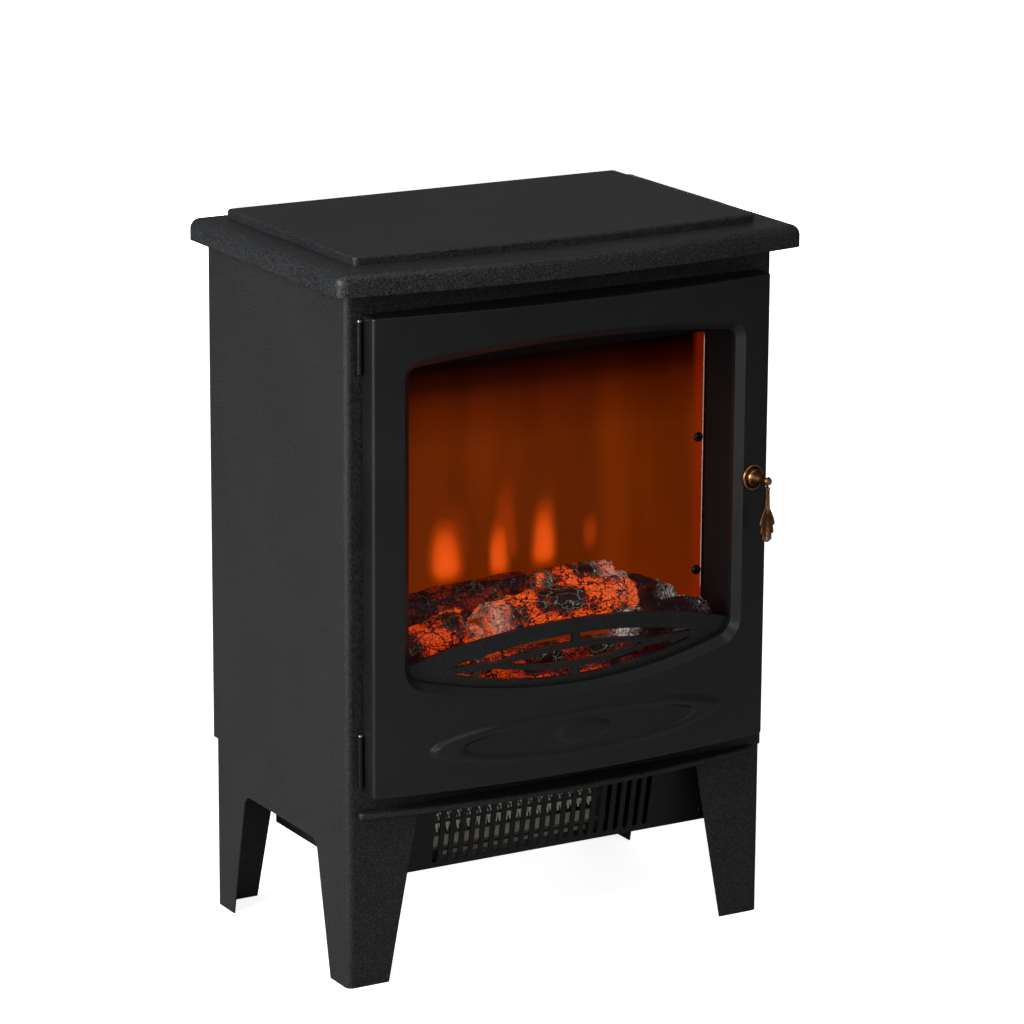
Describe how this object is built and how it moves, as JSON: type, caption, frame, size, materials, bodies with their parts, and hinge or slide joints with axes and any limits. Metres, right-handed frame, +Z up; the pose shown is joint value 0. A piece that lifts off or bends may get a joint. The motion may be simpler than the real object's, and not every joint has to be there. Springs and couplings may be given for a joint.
{
  "type": "electric fireplace stove",
  "caption": "Free-standing electric stove fireplace with a bow-fronted hinged door, arched window over glowing logs, leaning heater grille, flared lid and folded tapering legs.",
  "frame": {"origin": "middle of the footprint box on the floor, under the lid and the door handle", "axes": "+X to the right seen from the front, +Y to the back, +Z up; the door faces -Y"},
  "size_m": [0.39, 0.266, 0.548],
  "materials": {
    "powder_coat": "fine-textured satin powder coat, near-black",
    "door_enamel": "smooth satin black enamel",
    "firebox_black": "matt black heat-resistant paint",
    "black_screws": "black-passivated steel",
    "zinc_steel": "zinc-plated steel",
    "inner_steel": "bare galvanised sheet",
    "antique_brass": "antiqued brass, dark in the hollows and rubbed bright on the edges",
    "amber_screen": "amber translucent acrylic lit from behind",
    "log_resin": "translucent resin painted as charred glowing wood",
    "mirror_film": "mirror film on steel flags",
    "mica": "mica board",
    "heating_wire": "resistance wire",
    "switch_black": "moulded gloss black",
    "white_nylon": "natural nylon",
    "black_nylon": "black nylon",
    "circuit_board": "lacquered circuit board",
    "motor_steel": "laminated motor steel",
    "fan_aluminium": "pressed aluminium",
    "ferrite": "magnet in a black plastic case"
  },
  "bodies": {
    "cabinet": {"back_cover": "powder_coat", "back_cover_screws": "black_screws", "base_frame": "powder_coat", "base_screws": "zinc_steel", "cabinet_wrap": "powder_coat", "cable_gland": "black_nylon", "control_panel": "firebox_black", "door_magnet": "ferrite", "ember_lamp_board": "circuit_board", "fan_bearing": "inner_steel", "fan_motor": "motor_steel", "fan_scroll": "inner_steel", "firebox_floor": "firebox_black", "firebox_roof": "firebox_black", "firebox_wall_left": "firebox_black", "firebox_wall_right": "firebox_black", "flame_lamp_board": "circuit_board", "flame_reflector": "inner_steel", "flame_screen": "amber_screen", "flame_screen_screws": "black_screws", "floor_plate": "inner_steel", "grille_screws": "black_screws", "hearth_ledge": "powder_coat", "heater_element_frame": "mica", "heater_grille": "powder_coat", "heater_tray": "inner_steel", "heater_wires": "heating_wire", "hinge_frame_leaves": "black_screws", "hinge_pins": "zinc_steel", "hinge_screws": "black_screws", "ledge_screws": "zinc_steel", "lid": "powder_coat", "lid_screws": "zinc_steel", "light_box_back": "inner_steel", "log_set": "log_resin", "rocker_housings": "switch_black", "spindle_bush": "white_nylon", "spindle_motor": "motor_steel", "terminal_block": "white_nylon", "thermal_cutout": "motor_steel", "thermostat_body": "black_nylon", "top_panel": "inner_steel"},
    "door": {"door_frame": "door_enamel", "door_fret": "door_enamel", "fret_screws": "zinc_steel", "hinge_door_leaves": "black_screws", "hinge_rivets": "zinc_steel", "strike_plate": "zinc_steel", "handle_rosette": "antique_brass", "handle_post": "antique_brass", "handle_pin": "antique_brass", "handle_nut": "zinc_steel"},
    "pull": {"handle_pull": "antique_brass"},
    "fan": {"fan_rotor": "fan_aluminium", "fan_shaft": "zinc_steel"},
    "spindle": {"flame_spindle": "mirror_film"},
    "knob": {"thermostat_knob": "black_nylon"},
    "lamp_rocker": {"rocker_lamp": "switch_black"},
    "low_heat_rocker": {"rocker_low_heat": "switch_black"},
    "high_heat_rocker": {"rocker_high_heat": "switch_black"}
  },
  "joints": [
    {"name": "door_hinge", "type": "hinge", "parent": "cabinet", "child": "door", "pos_m": [-0.1699, -0.0947, 0.33], "axis": [0, 0, -1], "range_deg": [0, 110]},
    {"name": "pull_swing", "type": "hinge", "parent": "door", "child": "pull", "pos_m": [0.15526, -0.1297, 0.354], "axis": [-0.9868, -0.1618, 0], "range_deg": [-15, 85]},
    {"name": "fan_spin", "type": "hinge", "parent": "cabinet", "child": "fan", "pos_m": [0, -0.0013, 0.1041], "axis": [1, 0, 0], "continuous": true},
    {"name": "spindle_spin", "type": "hinge", "parent": "cabinet", "child": "spindle", "pos_m": [0, 0.0377, 0.256], "axis": [1, 0, 0], "continuous": true},
    {"name": "thermostat_turn", "type": "hinge", "parent": "cabinet", "child": "knob", "pos_m": [0.056, -0.1, 0.181], "axis": [0, -1, 0], "range_deg": [-270, 0]},
    {"name": "lamp_rock", "type": "hinge", "parent": "cabinet", "child": "lamp_rocker", "pos_m": [-0.064, -0.0895, 0.181], "axis": [1, 0, 0], "range_deg": [-9, 9]},
    {"name": "low_heat_rock", "type": "hinge", "parent": "cabinet", "child": "low_heat_rocker", "pos_m": [-0.03, -0.0895, 0.181], "axis": [1, 0, 0], "range_deg": [-9, 9]},
    {"name": "high_heat_rock", "type": "hinge", "parent": "cabinet", "child": "high_heat_rocker", "pos_m": [0.004, -0.0895, 0.181], "axis": [1, 0, 0], "range_deg": [-9, 9]}
  ]
}
